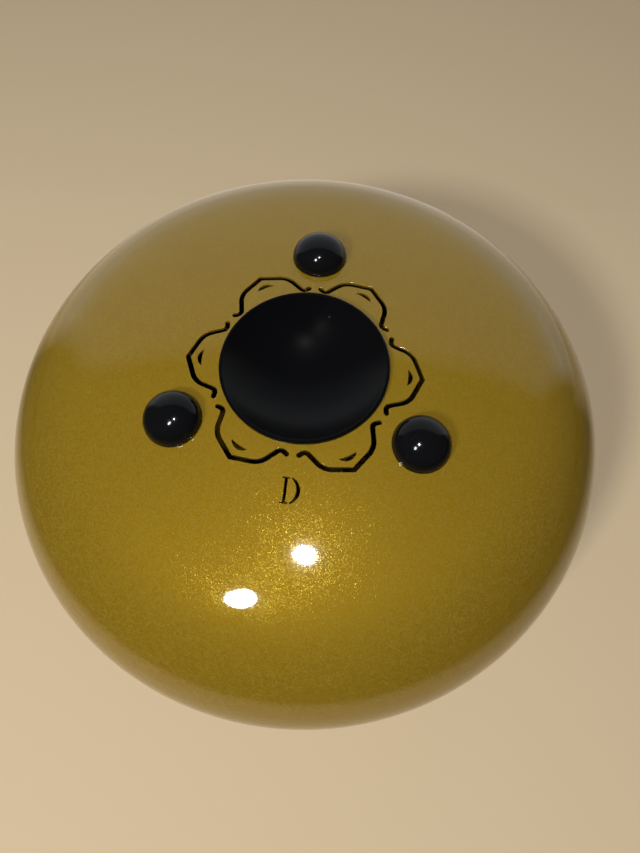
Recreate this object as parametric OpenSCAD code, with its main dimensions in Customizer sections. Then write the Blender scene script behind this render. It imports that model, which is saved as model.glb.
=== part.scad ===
// Steel tongue drum, lying with its playing face down and its feet up.
// Millimetres. Z is up. The origin is the middle of the small flat at the playing shell's crown.

/* [Shells] */
// Outside diameter of the drum at its seam
drum_d = 356; // [300:1:420]
// Height of each shell from the seam to its crown
shell_h = 76.8; // [62:0.1:92]
// Height of the crown above the top of the rounded shoulder
crown_rise = 11; // [9:0.1:14]
// Thickness of the steel sheet
wall = 1.6; // [1.2:0.1:2.4]
// Diameter of the flat that the playing shell's crown rests on
crown_flat_d = 32; // [20:1:40]
// Depth of the weld in the groove round the seam
weld_depth = 1; // [0.6:0.1:1.1]

/* [Port and bowl] */
// Diameter of the port cut in the underside shell
port_d = 85; // [70:1:102]
// Overlap of the bowl's lip on the shell round the port
lip_overlap = 3; // [2.4:0.1:3.6]
// Diameter of the round roll along the bowl's lip
lip_roll_d = 2.2; // [1.8:0.1:2.8]
// Angle of the bowl's side where it meets the lip
bowl_angle = 43; // [30:1:50]
// Thickness of the bowl's sheet
bowl_wall = 1; // [0.8:0.1:1.2]
// Thickness of the seal ring under the bowl's lip
seal_h = 1.2; // [0.8:0.1:2]
// Width of the seal ring
seal_w = 1.7; // [1.4:0.1:2]

/* [Lotus ring] */
// Number of petals round the port
petal_count = 6; // [5:1:7]
// Distance from the port's edge to a petal's tip
petal_reach = 20.8; // [17:0.1:25]
// Angle between the hooked ends of neighbouring petals, seen from the port's centre
petal_gap_angle = 7.2; // [5:0.1:9]
// Angle at which a petal's sides fall away from its tip
petal_tip_angle = 23.5; // [20:0.5:28]
// Width of the petals' slots
petal_slot_w = 2.6; // [1.5:0.1:3]
// Width of the crescent slot inside a petal's tip
crescent_w = 9.6; // [7:0.1:11]
// Height of the crescent's outer curve
crescent_rise = 2.7; // [2.4:0.1:3.2]
// Thickness of the crescent at its middle
crescent_t = 2.3; // [1.2:0.1:2.3]
// Distance from a petal's tip in to its crescent's points
crescent_depth = 8; // [6.5:0.1:9.5]

/* [Key letter] */
// Height of the stencilled letter D
letter_h = 13.4; // [10:0.1:16]
// Distance from the circle of petal tips out to the top of the letter, less than zero inside it
letter_gap = -1; // [-2:0.1:12]

/* [Feet] */
// Diameter of each rubber foot
foot_d = 31; // [24:0.5:36]
// Height of the straight band under each foot's dome
foot_band_h = 1.5; // [0.5:0.1:3]
// Height of each foot's dome above its band
foot_dome_h = 11; // [8:0.5:16]
// Distance from the port's edge to the middle of each foot
foot_reach = 31.9; // [26:0.1:40]
// Diameter of the stud moulded into each foot
stud_d = 4; // [3:0.5:5]
// Length of each stud past its nut
stud_tail = 2.2; // [1:0.1:8]
// Diameter of the stud's head inside the rubber
stud_head_d = 14; // [10:0.5:18]
// Thickness of the stud's head
stud_head_h = 1.5; // [1:0.1:2.5]
// Depth of rubber between the stud's head and the shell
stud_head_depth = 3; // [2:0.1:5]
// Extra diameter of the stud's hole in the shell
stud_play = 0.6; // [0.2:0.1:1]
// Outside diameter of the washers
washer_d = 10; // [8:0.5:14]
// Thickness of the washers
washer_h = 1; // [0.8:0.1:1.6]
// Size of the nuts across their flats
nut_af = 7; // [6:0.5:9]
// Height of the nuts
nut_h = 3.2; // [2.4:0.1:4]

/* [Tongues] */
// Distance from the seam in to the outer tongues' roots
root_margin = 32; // [26:0.5:38]
// Distance from the middle to the tip of the longest inner tongue
middle_clear_r = 25.5; // [20:0.5:32]
// Width of the outer tongues
outer_tongue_w = 34; // [28:0.5:40]
// Width of the inner tongues
inner_tongue_w = 19; // [15:0.5:23]
// Width of sheet between the lowest note's tip and the inner tongues' roots
ring_gap = 9.3; // [7:0.1:12]
// Width of the slits round the tongues
slit_w = 1.5; // [1:0.1:2]
// Gap across each tongue's root, where the sheet bends
root_gap = 0.1; // [0.08:0.01:0.2]

/* [Hidden] */
$fn = 96;
// Steps round the whole drum, round a large arc's circle and round a small one's
drum_steps = 256;
arc_steps = 360;
small_steps = 32;
// Steps up the side of a foot's dome
dome_steps = 30;

foot_count = 3;

// Semitones of each tongue above the lowest note, outer ring first
outer_note_shares = [0, 12, 4, 9, 2, 11, 5, 7];
inner_note_shares = [14, 23, 17, 21, 16, 24, 19];
// Semitones over which a tongue's length halves: pitch goes with one over the length squared
halving_share = 24;

outer_count = len(outer_note_shares);
inner_count = len(inner_note_shares);

paint = "#8d7116";
black = "#161616";
rubber = "#1b1b1b";
steel = "#b5b5b0";

// Overrun of cuts, past the sheet on both sides
overrun = 2;
// The section of a shell: a crown arc about [0, -crown_drop] runs into a shoulder arc about [shoulder_c, 0]
drum_r = drum_d / 2;
shoulder_r = shell_h - crown_rise;
shoulder_c = drum_r - shoulder_r;
crown_r = (pow(shoulder_c, 2) + pow(shell_h, 2) - pow(shoulder_r, 2)) / (2 * crown_rise);
crown_drop = crown_r - shell_h;
// The arcs meet on the line through both centres, and wedges that share this line's far end part them
join_far = [shoulder_c, 0] + [shoulder_c, crown_drop] / 2;

// The playing shell's crown is flat for crown_flat_d, which sets how high the seam lies
flat_sag = crown_r - sqrt(pow(crown_r, 2) - pow(crown_flat_d / 2, 2));
seam_z = shell_h - flat_sag;
top_centre_z = seam_z - crown_drop;

// Height of the underside shell's outer face at a radius inside its crown arc
function crown_z(r) = top_centre_z + sqrt(pow(crown_r, 2) - pow(r, 2));

// The bowl's lip lies on its seal, and its inside is a cap of a sphere that leaves the lip smoothly
port_r = port_d / 2;
roll_r = lip_roll_d / 2;
roll_c = port_r + lip_overlap - roll_r;
seal_in_r = roll_c - seal_w / 2;
seal_z = crown_z(seal_in_r);
roll_z = seal_z + seal_h + roll_r;
bowl_r = (roll_c - roll_r * sin(bowl_angle)) / sin(bowl_angle);
bowl_centre_z = roll_z + (roll_r + bowl_r) * cos(bowl_angle);

// Runs of a petal's centre line from its tip to a hooked end: [length as a share, turn in degrees]
petal_run_shares = [[0.476, 0], [0.384, -47], [0.265, 0], [0.165, 80], [0.07, 0]];
turn_step = 14;
end_steps = 8;
petal_tip_r = port_r + petal_reach;
crescent_r = petal_tip_r - crescent_depth;
letter_top_r = petal_tip_r + letter_gap;

// The letter's parts, in shares of its height
letter_bulge_share = 0.44;
stem_w_share = 0.1;
stem_x_share = -0.12;
serif_w_share = 0.28;
serif_h_share = 0.05;
bowl_x_share = 0.1;
bowl_t_share = 0.135;
bowl_end_share = 0.055;

// The feet stand square to the crown
foot_tilt = asin((port_r + foot_reach) / crown_r);
foot_turn = 90;
washer_sag = (crown_r - wall) - sqrt(pow(crown_r - wall, 2) - pow(washer_d / 2, 2));
washer_z = -wall - washer_sag - washer_h;
nut_bore_play = 0.1;

// A tongue's length as a share of the lowest note's
function note_length_share(semitones) = pow(2, -semitones / halving_share);

// The lowest outer tongue and the lowest inner one share the way from the outer roots to the middle
outer_root_r = drum_r - root_margin;
tongue_room = outer_root_r - ring_gap - middle_clear_r;
low_tongue_l = tongue_room / (1 + note_length_share(min(inner_note_shares)));
inner_root_r = outer_root_r - low_tongue_l - ring_gap;

module revolved() {
    rotate_extrude($fn = drum_steps) children();
}

// Sections of the sheet above the seam, parted along the line where the arcs meet
module crown_section() {
    difference() {
        intersection() {
            translate([0, -crown_drop]) circle(r = crown_r, $fn = arc_steps);
            polygon([[0, 0], [shoulder_c, 0], join_far, [0, join_far[1]]]);
        }
        translate([0, -crown_drop]) circle(r = crown_r - wall, $fn = arc_steps);
    }
}

module shoulder_section() {
    difference() {
        intersection() {
            translate([shoulder_c, 0]) circle(r = shoulder_r, $fn = arc_steps);
            polygon([[shoulder_c, 0], [drum_d, 0], [drum_d, join_far[1]], join_far]);
        }
        translate([shoulder_c, 0]) circle(r = shoulder_r - wall, $fn = arc_steps);
        weld_groove_section();
    }
}

// Groove for the weld, open to the outside
module weld_groove_section() {
    polygon([
        [drum_r - weld_depth, 0],
        [drum_r + overrun, weld_depth + overrun],
        [drum_r + overrun, -weld_depth - overrun]
    ]);
}

// A petal's centre line on its right, as points walked along its runs
function walk(place, heading, runs, k = 0) =
    k == len(runs) ? [place] :
    let (
        steps = max(1, ceil(abs(runs[k][1]) / turn_step)),
        turn = runs[k][1] / steps,
        stride = runs[k][0] / steps,
        ways = [for (j = [0:steps - 1]) heading + (j + 0.5) * turn],
        moves = [for (way = ways) stride * [cos(way), sin(way)]],
        places = [for (j = 0, at = place; j < steps; at = at + moves[j], j = j + 1) at],
        end = places[steps - 1] + moves[steps - 1]
    )
    concat(places, walk(end, heading + runs[k][1], runs, k + 1));

unit_line = walk([0, 0], -petal_tip_angle, petal_run_shares);
unit_end = unit_line[len(unit_line) - 1];
// The line is scaled until its end lies on the ray that leaves the gap to the next petal
end_slope = tan((360 / petal_count - petal_gap_angle) / 2);
line_scale = petal_tip_r * end_slope / (unit_end[0] - unit_end[1] * end_slope);
petal_line = [for (place = unit_line) [0, petal_tip_r] + line_scale * place];
line_end = len(petal_line) - 1;

// Direction of the centre line at one of its points, in degrees
function line_heading(k) =
    let (way = petal_line[min(line_end, k + 1)] - petal_line[max(0, k - 1)])
    atan2(way[1], way[0]);

// A point half a slot's width off the centre line, turned from its heading
function beside(k, turn) =
    petal_line[k] + petal_slot_w / 2 * [cos(line_heading(k) + turn), sin(line_heading(k) + turn)];

// The right half of a petal's slot, round its hooked end and back, and both halves as one outline
module petal() {
    tip_out = [0, petal_slot_w / 2 / cos(petal_tip_angle)];
    right_side = concat(
        [petal_line[0] + tip_out],
        [for (k = [1:line_end]) beside(k, 90)],
        [for (j = [1:end_steps - 1]) beside(line_end, 90 - j * 180 / end_steps)],
        [for (k = [line_end:-1:1]) beside(k, -90)],
        [petal_line[0] - tip_out]
    );
    left_side = [for (k = [len(right_side) - 2:-1:1]) [-right_side[k][0], right_side[k][1]]];
    polygon(concat(right_side, left_side));
}

// A crescent with its points on the line through its base and its back outwards
module crescent() {
    half_w = crescent_w / 2;
    inner_rise = crescent_rise - crescent_t;
    outer_arc_r = (pow(half_w, 2) + pow(crescent_rise, 2)) / (2 * crescent_rise);
    inner_arc_r = (pow(half_w, 2) + pow(inner_rise, 2)) / (2 * inner_rise);
    translate([0, crescent_r]) difference() {
        translate([0, crescent_rise - outer_arc_r]) circle(r = outer_arc_r);
        translate([0, inner_rise - inner_arc_r]) circle(r = inner_arc_r, $fn = arc_steps);
    }
}

// The letter D as two strokes, so that its middle stays on the shell
module key_letter() {
    stem_w = stem_w_share * letter_h;
    serif_w = serif_w_share * letter_h;
    serif_h = serif_h_share * letter_h;
    stem_x = stem_x_share * letter_h;
    bowl_x = bowl_x_share * letter_h;
    bulge = (letter_bulge_share - bowl_x_share) * letter_h;
    half_h = letter_h / 2;
    inner_half_h = half_h - bowl_end_share * letter_h;
    inner_bulge = bulge - bowl_t_share * letter_h;
    outer_arc_r = (pow(half_h, 2) + pow(bulge, 2)) / (2 * bulge);
    inner_arc_r = (pow(inner_half_h, 2) + pow(inner_bulge, 2)) / (2 * inner_bulge);
    translate([0, -letter_top_r - half_h]) {
        translate([stem_x - stem_w / 2, -half_h]) square([stem_w, letter_h]);
        for (side = [-1, 1]) translate([stem_x - serif_w / 2, side * (half_h - serif_h / 2) - serif_h / 2])
            square([serif_w, serif_h]);
        intersection() {
            difference() {
                translate([bowl_x + bulge - outer_arc_r, 0]) circle(r = outer_arc_r);
                translate([bowl_x + inner_bulge - inner_arc_r, 0]) circle(r = inner_arc_r);
            }
            translate([bowl_x, -half_h]) square([letter_h, letter_h]);
        }
    }
}

// Moves a piece drawn about the Z axis to every foot, with its zero on the shell's outer face
module at_foot(i) {
    rotate(foot_turn + i * 360 / foot_count) translate([0, 0, top_centre_z]) rotate([0, foot_tilt, 0])
        translate([0, 0, crown_r]) children();
}

module at_feet() {
    for (i = [0:foot_count - 1]) at_foot(i) children();
}

// Outlines run straight down through the underside shell's crown
module through_underside() {
    cut_z = crown_z(letter_top_r + letter_h) - wall - overrun;
    translate([0, 0, cut_z]) linear_extrude(seam_z + shell_h + overrun - cut_z) children();
}

module underside_shell() {
    color(paint) difference() {
        translate([0, 0, seam_z]) {
            revolved() crown_section();
            revolved() shoulder_section();
        }
        translate([0, 0, seam_z]) cylinder(d = port_d, h = shell_h + overrun);
        for (i = [0:petal_count - 1]) rotate(i * 360 / petal_count - 90) {
            through_underside() petal();
            through_underside() crescent();
        }
        through_underside() key_letter();
        at_feet() translate([0, 0, -wall - overrun])
            cylinder(d = stud_d + stud_play, h = wall + 2 * overrun);
    }
}

// A tongue's outline, with its root square across the X axis and its round tip towards the middle
module tongue_outline(length, width, root_r, grow = 0) {
    tip_c = root_r - length + width / 2;
    translate([tip_c, 0]) circle(d = width + 2 * grow, $fn = 64);
    translate([tip_c, -width / 2 - grow]) square([root_r - tip_c, width + 2 * grow]);
}

function tongue_length(semitones) = low_tongue_l * note_length_share(semitones);

module outer_outline(i, grow = 0, short = 0) {
    length = tongue_length(outer_note_shares[i - 1]);
    rotate((i - 1) * 360 / outer_count)
        tongue_outline(length - short, outer_tongue_w, outer_root_r - short, grow);
}

module inner_outline(i, grow = 0, short = 0) {
    length = tongue_length(inner_note_shares[i - 1]);
    rotate((i - 1) * 360 / inner_count)
        tongue_outline(length - short, inner_tongue_w, inner_root_r - short, grow);
}

// The playing shell's sheet before its slits are cut, in the two parts that its section has
module playing_crown() {
    difference() {
        translate([0, 0, seam_z]) revolved() mirror([0, 1]) crown_section();
        translate([0, 0, -overrun - flat_sag]) cylinder(d = drum_d, h = overrun + flat_sag);
    }
}

module playing_shoulder() {
    translate([0, 0, seam_z]) revolved() mirror([0, 1]) shoulder_section();
}

module playing_shell() {
    color(paint) difference() {
        union() {
            playing_crown();
            playing_shoulder();
        }
        through_playing_sheet() {
            for (i = [1:outer_count]) outer_outline(i, slit_w);
            for (i = [1:inner_count]) inner_outline(i, slit_w);
        }
    }
}

// Outlines run straight through the playing shell's sheet
module through_playing_sheet() {
    translate([0, 0, -overrun]) linear_extrude(seam_z) children();
}

module outer_tongue(i) {
    color(paint) {
        intersection() {
            playing_crown();
            through_playing_sheet() outer_outline(i, 0, root_gap);
        }
        intersection() {
            playing_shoulder();
            through_playing_sheet() outer_outline(i, 0, root_gap);
        }
    }
}

module inner_tongue(i) {
    color(paint) intersection() {
        playing_crown();
        through_playing_sheet() inner_outline(i, 0, root_gap);
    }
}

module seam_weld() {
    color(paint) translate([0, 0, seam_z]) revolved() intersection() {
        weld_groove_section();
        translate([shoulder_c, 0]) circle(r = shoulder_r, $fn = arc_steps);
    }
}

// The bowl is spun from sheet: a cap of a sphere with a round roll along its lip
module port_bowl() {
    side_way = [sin(bowl_angle), -cos(bowl_angle)];
    color(black) revolved() {
        translate([roll_c, roll_z]) circle(r = roll_r, $fn = small_steps);
        translate([0, bowl_centre_z]) intersection() {
            difference() {
                circle(r = bowl_r + bowl_wall, $fn = arc_steps);
                circle(r = bowl_r, $fn = arc_steps);
            }
            polygon([[0, 0], [0, -drum_d], drum_d * side_way]);
        }
    }
}

module bowl_seal() {
    color(rubber) revolved() translate([seal_in_r, seal_z]) square([seal_w, seal_h]);
}

// Half a foot's section: a straight band with a quarter of an ellipse on it
module foot_section() {
    foot_r = foot_d / 2;
    polygon([
        [0, 0],
        [foot_r, 0],
        for (angle = [0:90 / dome_steps:90]) [foot_r * cos(angle), foot_band_h + foot_dome_h * sin(angle)]
    ]);
}

module foot_dome() {
    color(rubber) difference() {
        rotate_extrude() foot_section();
        stud();
    }
}

module foot(i) {
    at_foot(i - 1) foot_dome();
}

module stud() {
    low_z = washer_z - nut_h - stud_tail;
    translate([0, 0, low_z]) cylinder(d = stud_d, h = stud_head_depth - low_z);
    translate([0, 0, stud_head_depth]) cylinder(d = stud_head_d, h = stud_head_h);
}

module foot_studs() {
    color(steel) at_feet() stud();
}

module foot_washers() {
    color(steel) at_feet() translate([0, 0, washer_z]) difference() {
        cylinder(d = washer_d, h = washer_h);
        translate([0, 0, -overrun]) cylinder(d = stud_d + stud_play, h = washer_h + 2 * overrun);
    }
}

module foot_nuts() {
    color(steel) at_feet() translate([0, 0, washer_z - nut_h]) difference() {
        cylinder(d = nut_af / cos(30), h = nut_h, $fn = 6);
        translate([0, 0, -overrun]) cylinder(d = stud_d + nut_bore_play, h = nut_h + 2 * overrun);
    }
}

underside_shell();
playing_shell();
seam_weld();
port_bowl();
bowl_seal();
for (i = [1:foot_count]) foot(i);
foot_studs();
foot_washers();
foot_nuts();
for (i = [1:outer_count]) outer_tongue(i);
for (i = [1:inner_count]) inner_tongue(i);
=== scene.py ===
"""Steel tongue drum lying on its playing face, with its port, lotus ring and feet up."""

import math
from itertools import accumulate

import bpy
import numpy as np
from mathutils import Matrix, Quaternion, Vector
from mathutils.geometry import delaunay_2d_cdt


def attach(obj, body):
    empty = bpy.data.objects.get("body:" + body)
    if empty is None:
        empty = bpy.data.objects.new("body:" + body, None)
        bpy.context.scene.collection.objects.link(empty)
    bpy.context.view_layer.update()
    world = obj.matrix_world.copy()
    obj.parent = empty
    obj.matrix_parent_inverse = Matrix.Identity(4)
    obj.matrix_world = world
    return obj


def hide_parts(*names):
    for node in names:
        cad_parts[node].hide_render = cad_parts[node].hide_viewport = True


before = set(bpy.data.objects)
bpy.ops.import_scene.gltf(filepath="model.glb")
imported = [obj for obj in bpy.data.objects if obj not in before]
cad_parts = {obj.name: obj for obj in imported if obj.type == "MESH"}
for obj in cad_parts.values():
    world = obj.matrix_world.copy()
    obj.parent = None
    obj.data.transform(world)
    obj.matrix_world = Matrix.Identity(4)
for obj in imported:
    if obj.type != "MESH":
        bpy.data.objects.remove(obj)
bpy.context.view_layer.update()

MM = 0.001
TURN = 2 * math.pi

# Sizes in millimetres, the same as the frame's
DRUM_R = 178.0
SHELL_H = 76.8
CROWN_RISE = 11.0
WALL = 1.6
FLAT_R = 16.0
WELD_DEPTH = 1.0

PORT_R = 42.5
LIP_OVERLAP = 3.0
ROLL_R = 1.1
BOWL_ANGLE = math.radians(43)
BOWL_WALL = 1.0
SEAL_H = 1.2
SEAL_W = 1.7
SEAL_EDGE = 0.25

PETALS = 6
PETAL_TIP_R = PORT_R + 20.8
PETAL_TIP_ANGLE = 23.5
PETAL_GAP_ANGLE = 7.2
PETAL_SLOT_W = 2.6
PETAL_RUNS = [[0.476, 0], [0.384, -47], [0.265, 0], [0.165, 80], [0.07, 0]]
CRESCENT_W = 9.6
CRESCENT_RISE = 2.7
CRESCENT_T = 2.3
CRESCENT_R = PETAL_TIP_R - 8.0

LETTER_H = 13.4
LETTER_TOP_R = PETAL_TIP_R - 1.0

FEET = 3
FOOT_R = 15.5
FOOT_BAND_H = 1.5
FOOT_DOME_H = 11.0
FOOT_LIP = 0.2
FOOT_RING_R = PORT_R + 31.9
STUD_R = 2.0
STUD_TAIL = 2.2
STUD_HEAD_R = 7.0
STUD_HEAD_H = 1.5
STUD_HEAD_DEPTH = 3.0
STUD_HEAD_EDGE = 0.3
STUD_PLAY = 0.3
STUD_TIP_H = 0.1
THREAD_PITCH = 0.7
THREAD_DEPTH = 0.18
WASHER_R = 5.0
WASHER_H = 1.0
WASHER_EDGE = 0.15
NUT_AF = 7.0
NUT_H = 3.2
NUT_PLAY = 0.05
NUT_BEVEL = 0.3
NUT_FACE_SHARE = 0.96
NUT_CHAMFER = math.radians(30)

OUTER_NOTES = [0, 12, 4, 9, 2, 11, 5, 7]
INNER_NOTES = [14, 23, 17, 21, 16, 24, 19]
OUTER_W = 34.0
INNER_W = 19.0
SLIT_W = 1.5
OUTER_ROOT_R = DRUM_R - 32.0
RING_GAP = 9.3
MIDDLE_CLEAR_R = 25.5
LOW_TONGUE_L = (OUTER_ROOT_R - RING_GAP - MIDDLE_CLEAR_R) / (1 + 2 ** (-min(INNER_NOTES) / 24))
INNER_ROOT_R = OUTER_ROOT_R - LOW_TONGUE_L - RING_GAP

# Worked out from these: the crown's and the shoulder's arcs and the seam's height
SHOULDER_R = SHELL_H - CROWN_RISE
SHOULDER_C = DRUM_R - SHOULDER_R
CROWN_R = (SHOULDER_C**2 + SHELL_H**2 - SHOULDER_R**2) / (2 * CROWN_RISE)
CROWN_DROP = CROWN_R - SHELL_H
SEAM_Z = SHELL_H - (CROWN_R - math.sqrt(CROWN_R**2 - FLAT_R**2))
TOP_CENTRE_Z = SEAM_Z - CROWN_DROP
JOIN_SIN = SHOULDER_C / math.hypot(SHOULDER_C, CROWN_DROP)
# Pressed sheet bends gradually, so the shading eases over this much to each side of the arcs' join
JOIN_BLEND = 12.0

# Paint rounds every cut edge a little, except across the tongues' roots, where the sheet runs on
PAINT_EDGE = 0.32
ROOT_EDGE = 0.02
ROOT_GAP = 0.02
EDGE_STEPS = 4
# Edges that turn by less than this are shaded as one
SMOOTH_TURN = math.radians(38)
MITRE_LIMIT = 0.25

# The cut-outs lie inside these radii, and the sheet outside them is turned round the drum's axis
UNDERSIDE_CUT_R = 100.0
PLAYING_CUT_R = 152.0
ROUND_STEPS = 256
PORT_STEPS = 192
FOOT_STEPS = 96
FASTENER_STEPS = 48
NUT_STEPS = 72

# Spacing of the points along cut edges and over the sheet between them
CUT_STEP = 1.2
TONGUE_CUT_STEP = 2.0
TONGUE_TIP_STEPS = 36
PETAL_END_STEPS = 12
PETAL_STEP_DEGREES = 5
FILL_STEP = 3.4
PLAYING_FILL_STEP = 3.6
FILL_GAP = 1.1
# Places nearer than this are one, and places this near the axis are on it
SAME_PLACE = 1e-7
ON_AXIS = 1e-6
# The triangulation's own number for leaving out what is outside the outlines
INSIDE = 1


# Shader maths
class Signal:
    """A node's output that can be used in sums. Each sum adds its Math nodes."""

    def __init__(self, finish, socket):
        self.finish, self.socket = finish, socket

    def maths(self, operation, *values):
        inputs = dict(enumerate(values))
        return self.finish.node("ShaderNodeMath", {"operation": operation}, inputs)

    def __add__(self, other):
        return self.maths("ADD", self, other)

    def __radd__(self, other):
        return self.maths("ADD", other, self)

    def __sub__(self, other):
        return self.maths("SUBTRACT", self, other)

    def __rsub__(self, other):
        return self.maths("SUBTRACT", other, self)

    def __mul__(self, other):
        return self.maths("MULTIPLY", self, other)

    def __rmul__(self, other):
        return self.maths("MULTIPLY", other, self)

    def __gt__(self, other):
        return self.maths("GREATER_THAN", self, other)

    def __abs__(self):
        return self.maths("ABSOLUTE", self)


class Finish:
    """The nodes of a material, a lamp or the world. finish.node adds any node but a sum."""

    def __init__(self, owner, surface="Principled BSDF"):
        owner.use_nodes = True
        self.owner, self.tree = owner, owner.node_tree
        self.surface = self.tree.nodes[surface]

    def node(self, kind, settings=None, inputs=None, output=0):
        made = self.tree.nodes.new(kind)
        for key, value in (settings or {}).items():
            if key == "stops":
                for place, stop in enumerate(value):
                    if place > 1:
                        made.color_ramp.elements.new(stop[0])
                    made.color_ramp.elements[place].position = stop[0]
                    made.color_ramp.elements[place].color = stop[1]
            else:
                setattr(made, key, value)
        for key, value in (inputs or {}).items():
            self.feed(made.inputs[key], value)
        return Signal(self, made.outputs[output])

    def feed(self, socket, value):
        if isinstance(value, Signal):
            self.tree.links.new(value.socket, socket)
        else:
            socket.default_value = value

    def set(self, **values):
        """Sets or links the surface's sockets: Base_Color is Base Color."""
        for key, value in values.items():
            self.feed(self.surface.inputs[key.replace("_", " ")], value)
        return self.owner

    def places(self):
        return self.node("ShaderNodeTexCoord", output="Object")

    def noise(self, scale, detail=2.0, roughness=0.5):
        inputs = {"Vector": self.places(), "Scale": scale, "Detail": detail, "Roughness": roughness}
        return self.node("ShaderNodeTexNoise", inputs=inputs)

    def cells(self, scale, output="Color"):
        inputs = {"Vector": self.places(), "Scale": scale}
        return self.node("ShaderNodeTexVoronoi", inputs=inputs, output=output)

    def chances(self, places):
        """Three random shares for each place."""
        settings = {"noise_dimensions": "3D"}
        return self.node("ShaderNodeTexWhiteNoise", settings, {"Vector": places}, output="Color")

    def part(self, vector, axis):
        return self.node("ShaderNodeSeparateXYZ", inputs={"Vector": vector}, output=axis)

    def channel(self, colour, name):
        return self.node("ShaderNodeSeparateColor", inputs={"Color": colour}, output=name)

    def vectors(self, operation, inputs, output=0):
        return self.node("ShaderNodeVectorMath", {"operation": operation}, inputs, output)

    def bump(self, height, strength, depth):
        inputs = {"Height": height, "Strength": strength, "Distance": depth}
        return self.node("ShaderNodeBump", inputs=inputs)

    def ray(self, kind):
        """1 for rays of a kind, such as Camera or Glossy."""
        return self.node("ShaderNodeLightPath", output=f"Is {kind} Ray")

    def spread(self, signal, low, high, to_low=0.0, to_high=1.0):
        """The signal's stretch from low to high, made to run from to_low to to_high."""
        inputs = {"Value": signal, "From Min": low, "From Max": high, "To Min": to_low, "To Max": to_high}
        return self.node("ShaderNodeMapRange", inputs=inputs)

    def mixed(self, share, first, second):
        return self.node("ShaderNodeMix", {"data_type": "RGBA"}, {0: share, 6: first, 7: second}, output=2)


# Finishes. A scale is in grains for each metre, and a depth in metres
FLAKE_SCALE = 3300.0
FLAKE_LEAN = 0.24
CLOUD_SCALE = 9.0
PAINT_DARK = (0.222, 0.125, 0.0040, 1.0)
PAINT_LIGHT = (0.272, 0.160, 0.0058, 1.0)
PAINT_METAL = 0.48
PAINT_ROUGHNESS = 0.6
GLINT_SHARE = 0.30
GLINT_COLOUR = (0.25, 0.178, 0.018, 1.0)
GLINT_METAL = 0.17
GLINT_ROUGHNESS = 0.22
COAT_IOR = 1.5

BOWL_BASE = (0.0024, 0.0025, 0.0029, 1.0)
BOWL_ROUGHNESS = (0.55, 0.65)
BOWL_GLOSS = 0.9
SMEAR_SCALE = 22.0
DUST_SCALE = 900.0
DUST_SHARE = 0.0005
DUST_COLOUR = (0.03, 0.03, 0.03, 1.0)
SATIN_SCALE = 1400.0

RUBBER_BASE = (0.0032, 0.0033, 0.0038, 1.0)
RUBBER_SCALE = 900.0
SCUFF_SCALE = 160.0
SCUFF_COLOUR = (0.007, 0.007, 0.008, 1.0)
SCUFF_ROUGHER = 0.10

STEEL_GREY = (0.56, 0.56, 0.55, 1.0)
STEEL_YELLOW = (0.60, 0.57, 0.49, 1.0)
STEEL_ROUGHNESS = (0.28, 0.42)
MARK_SCALE = 2600.0
CAST_SCALE = 120.0


def gold_flake_paint():
    """Metal flakes in a gold base under a clear gloss coat, which keeps the smooth surface."""
    paint = Finish(bpy.data.materials.new("gold flake paint"))
    flake = paint.cells(FLAKE_SCALE)
    shares = paint.chances(paint.cells(FLAKE_SCALE, output="Position"))
    tilt = paint.vectors("SUBTRACT", {0: flake, 1: (0.5, 0.5, 0.5)})
    lean = paint.vectors("SCALE", {0: tilt, "Scale": paint.channel(shares, "Red") * FLAKE_LEAN})
    smooth = paint.node("ShaderNodeNewGeometry", output="Normal")
    facing = paint.vectors("NORMALIZE", {0: paint.vectors("ADD", {0: smooth, 1: lean})})
    glint = paint.channel(shares, "Green") > 1 - GLINT_SHARE
    cloud = paint.noise(CLOUD_SCALE, detail=3.0)
    depth = paint.spread(paint.channel(flake, "Red") * 0.5 + cloud * 0.5, 0.2, 0.8)
    return paint.set(
        Base_Color=paint.mixed(glint, paint.mixed(depth, PAINT_DARK, PAINT_LIGHT), GLINT_COLOUR),
        Metallic=glint * (GLINT_METAL - PAINT_METAL) + PAINT_METAL,
        Roughness=glint * (GLINT_ROUGHNESS - PAINT_ROUGHNESS) + PAINT_ROUGHNESS,
        Normal=facing,
        Specular_IOR_Level=0.0,
        Coat_Weight=1.0,
        Coat_Roughness=0.045,
        Coat_IOR=COAT_IOR,
    )


def black_bowl_paint():
    """Black satin paint with the faint smears and dust of handling. It shines at a low angle."""
    paint = Finish(bpy.data.materials.new("black satin paint"))
    smear = paint.noise(SMEAR_SCALE, detail=4.0, roughness=0.6)
    dust = paint.channel(paint.cells(DUST_SCALE), "Red") > 1 - DUST_SHARE
    slant = paint.node("ShaderNodeLayerWeight", inputs={"Blend": 0.5}, output="Facing")
    return paint.set(
        Base_Color=paint.mixed(dust, BOWL_BASE, DUST_COLOUR),
        Roughness=paint.spread(smear, 0.35, 0.75, *BOWL_ROUGHNESS),
        Normal=paint.bump(paint.noise(SATIN_SCALE), strength=0.05, depth=0.0001),
        Specular_IOR_Level=0.0,
        Coat_Weight=slant * BOWL_GLOSS,
        Coat_Roughness=0.27,
        Coat_IOR=COAT_IOR,
    )


def moulded_rubber(name, roughness):
    """Black rubber with a moulded skin: a fine grain and a few scuffs."""
    rubber = Finish(bpy.data.materials.new(name))
    scuff = rubber.spread(rubber.noise(SCUFF_SCALE, detail=5.0, roughness=0.7), 0.60, 0.72)
    return rubber.set(
        Base_Color=rubber.mixed(scuff, RUBBER_BASE, SCUFF_COLOUR),
        Roughness=rubber.spread(scuff, 0.0, 1.0, roughness, roughness + SCUFF_ROUGHER),
        Normal=rubber.bump(rubber.noise(RUBBER_SCALE, detail=3.0), strength=0.08, depth=0.0001),
        Specular_IOR_Level=0.22,
    )


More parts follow.
